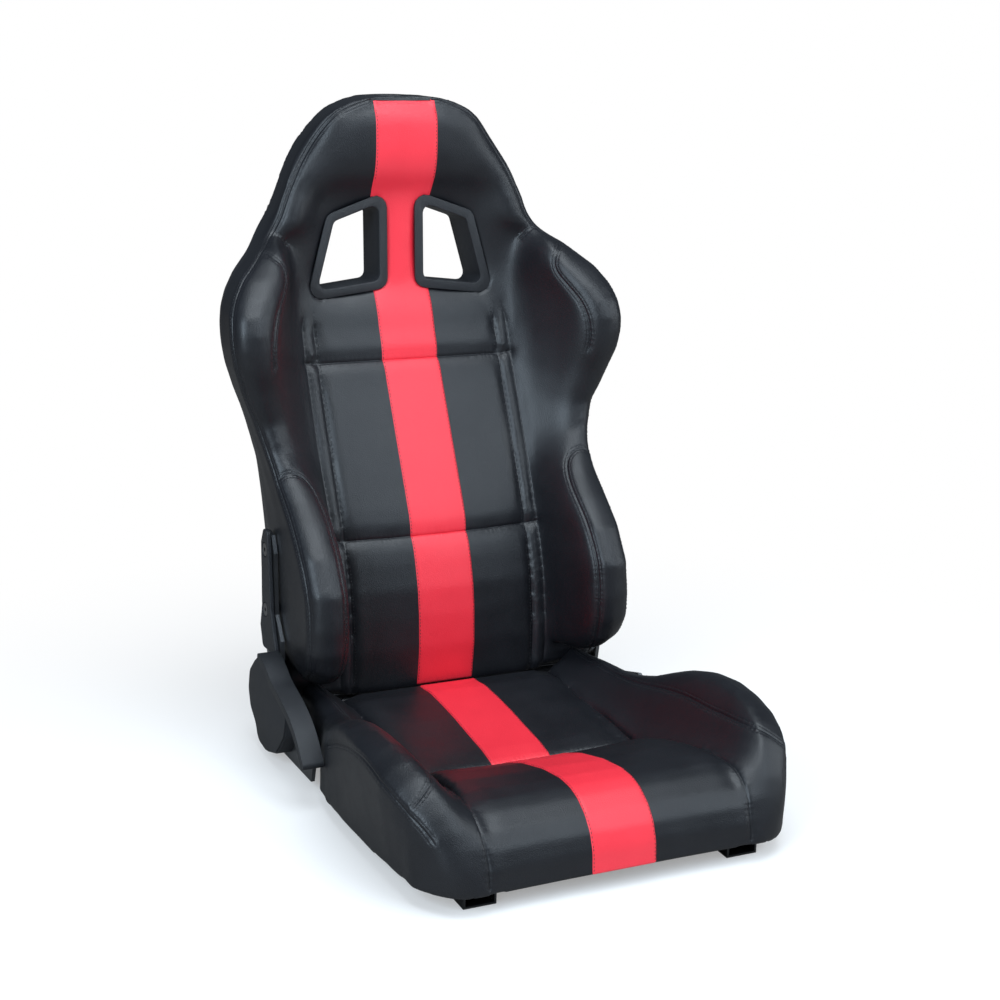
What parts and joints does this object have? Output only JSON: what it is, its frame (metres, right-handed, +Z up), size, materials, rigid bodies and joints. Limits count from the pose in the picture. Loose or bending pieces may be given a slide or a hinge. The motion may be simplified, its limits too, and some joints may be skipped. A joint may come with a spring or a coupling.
{
  "type": "racing seat",
  "caption": "Reclining sport seat with padded side bolsters, built-in headrest with belt slots, a red centre stripe, a side recline handle and sliding floor rails.",
  "frame": {"origin": "centre of the four floor bolt holes, at floor level", "axes": "+Z up, the sitter faces -Y, +X is the sitter's left"},
  "size_m": [0.5554, 0.7628, 0.8306],
  "materials": {
    "black_leather": "smooth black synthetic leather",
    "red_leather": "smooth red synthetic leather",
    "black_plastic": "fine grained dark plastic",
    "black_metal": "satin black paint",
    "rail_steel": "zinc plated",
    "bright_steel": "pressed steel, plated",
    "screw_steel": "dark plated"
  },
  "bodies": {
    "floor_rails": {"lower_rail_left": "rail_steel", "lower_rail_right": "rail_steel"},
    "seat_base": {"upper_rail_left": "rail_steel", "upper_rail_right": "rail_steel", "glide_shoes": "black_plastic", "base_frame": "black_metal", "rear_cross_tube": "black_metal", "seat_pan": "bright_steel", "seat_cushion": "black_leather", "thigh_roll": "black_leather", "base_bolster_left": "black_leather", "base_bolster_right": "black_leather", "seat_stripe": "red_leather", "thigh_stripe": "red_leather", "recliner_plate_left": "bright_steel", "recliner_plate_right": "bright_steel", "recliner_cover_left": "black_plastic", "recliner_cap_right": "black_plastic", "base_screws": "screw_steel", "pawl_pins": "screw_steel", "bar_pivots": "screw_steel"},
    "backrest": {"recliner_arm_left": "black_metal", "recliner_arm_right": "black_metal", "arm_cover_left": "black_plastic", "arm_cover_right": "black_plastic", "back_frame": "black_metal", "support_wires": "rail_steel", "back_insert": "black_leather", "headrest_pad": "black_leather", "back_bolster_left": "black_leather", "back_bolster_right": "black_leather", "foot_roll_left": "black_leather", "foot_roll_right": "black_leather", "rear_panel": "black_leather", "back_stripe": "red_leather", "headrest_stripe": "red_leather", "slot_frame_left": "black_plastic", "slot_frame_right": "black_plastic", "slot_ring_left": "black_plastic", "slot_ring_right": "black_plastic", "arm_screws": "screw_steel"},
    "recline_lever": {"sync_shaft": "rail_steel", "recline_handle": "black_plastic", "release_cams": "rail_steel"},
    "lock_pawls": {"lock_pawls": "rail_steel"},
    "release_bar": {"release_bar": "bright_steel", "rail_latches": "rail_steel"}
  },
  "joints": [
    {"name": "seat_slide", "type": "slide", "parent": "floor_rails", "child": "seat_base", "axis": [0, 1, 0], "range_m": [-0.08, 0.08]},
    {"name": "recline", "type": "hinge", "parent": "seat_base", "child": "backrest", "pos_m": [0, 0.27, 0.092], "axis": [-1, 0, 0], "range_deg": [-6, 55]},
    {"name": "recline_handle", "type": "hinge", "parent": "seat_base", "child": "recline_lever", "pos_m": [0, 0.27, 0.092], "axis": [-1, 0, 0], "range_deg": [0, 25], "stiffness_Nm_per_rad": 2, "springref_deg": -20.05},
    {"name": "pawl_swing", "type": "hinge", "parent": "seat_base", "child": "lock_pawls", "pos_m": [0, 0.236, 0.05], "axis": [-1, 0, 0], "range_deg": [0, 7.5]},
    {"name": "release_bar_lift", "type": "hinge", "parent": "seat_base", "child": "release_bar", "pos_m": [0, -0.078, 0.0165], "axis": [-1, 0, 0], "range_deg": [0, 3], "stiffness_Nm_per_rad": 20, "springref_deg": -9.74}
  ],
  "couplings": [
    {"joint": "pawl_swing", "follows": "recline_handle", "ratio": 0.3}
  ]
}
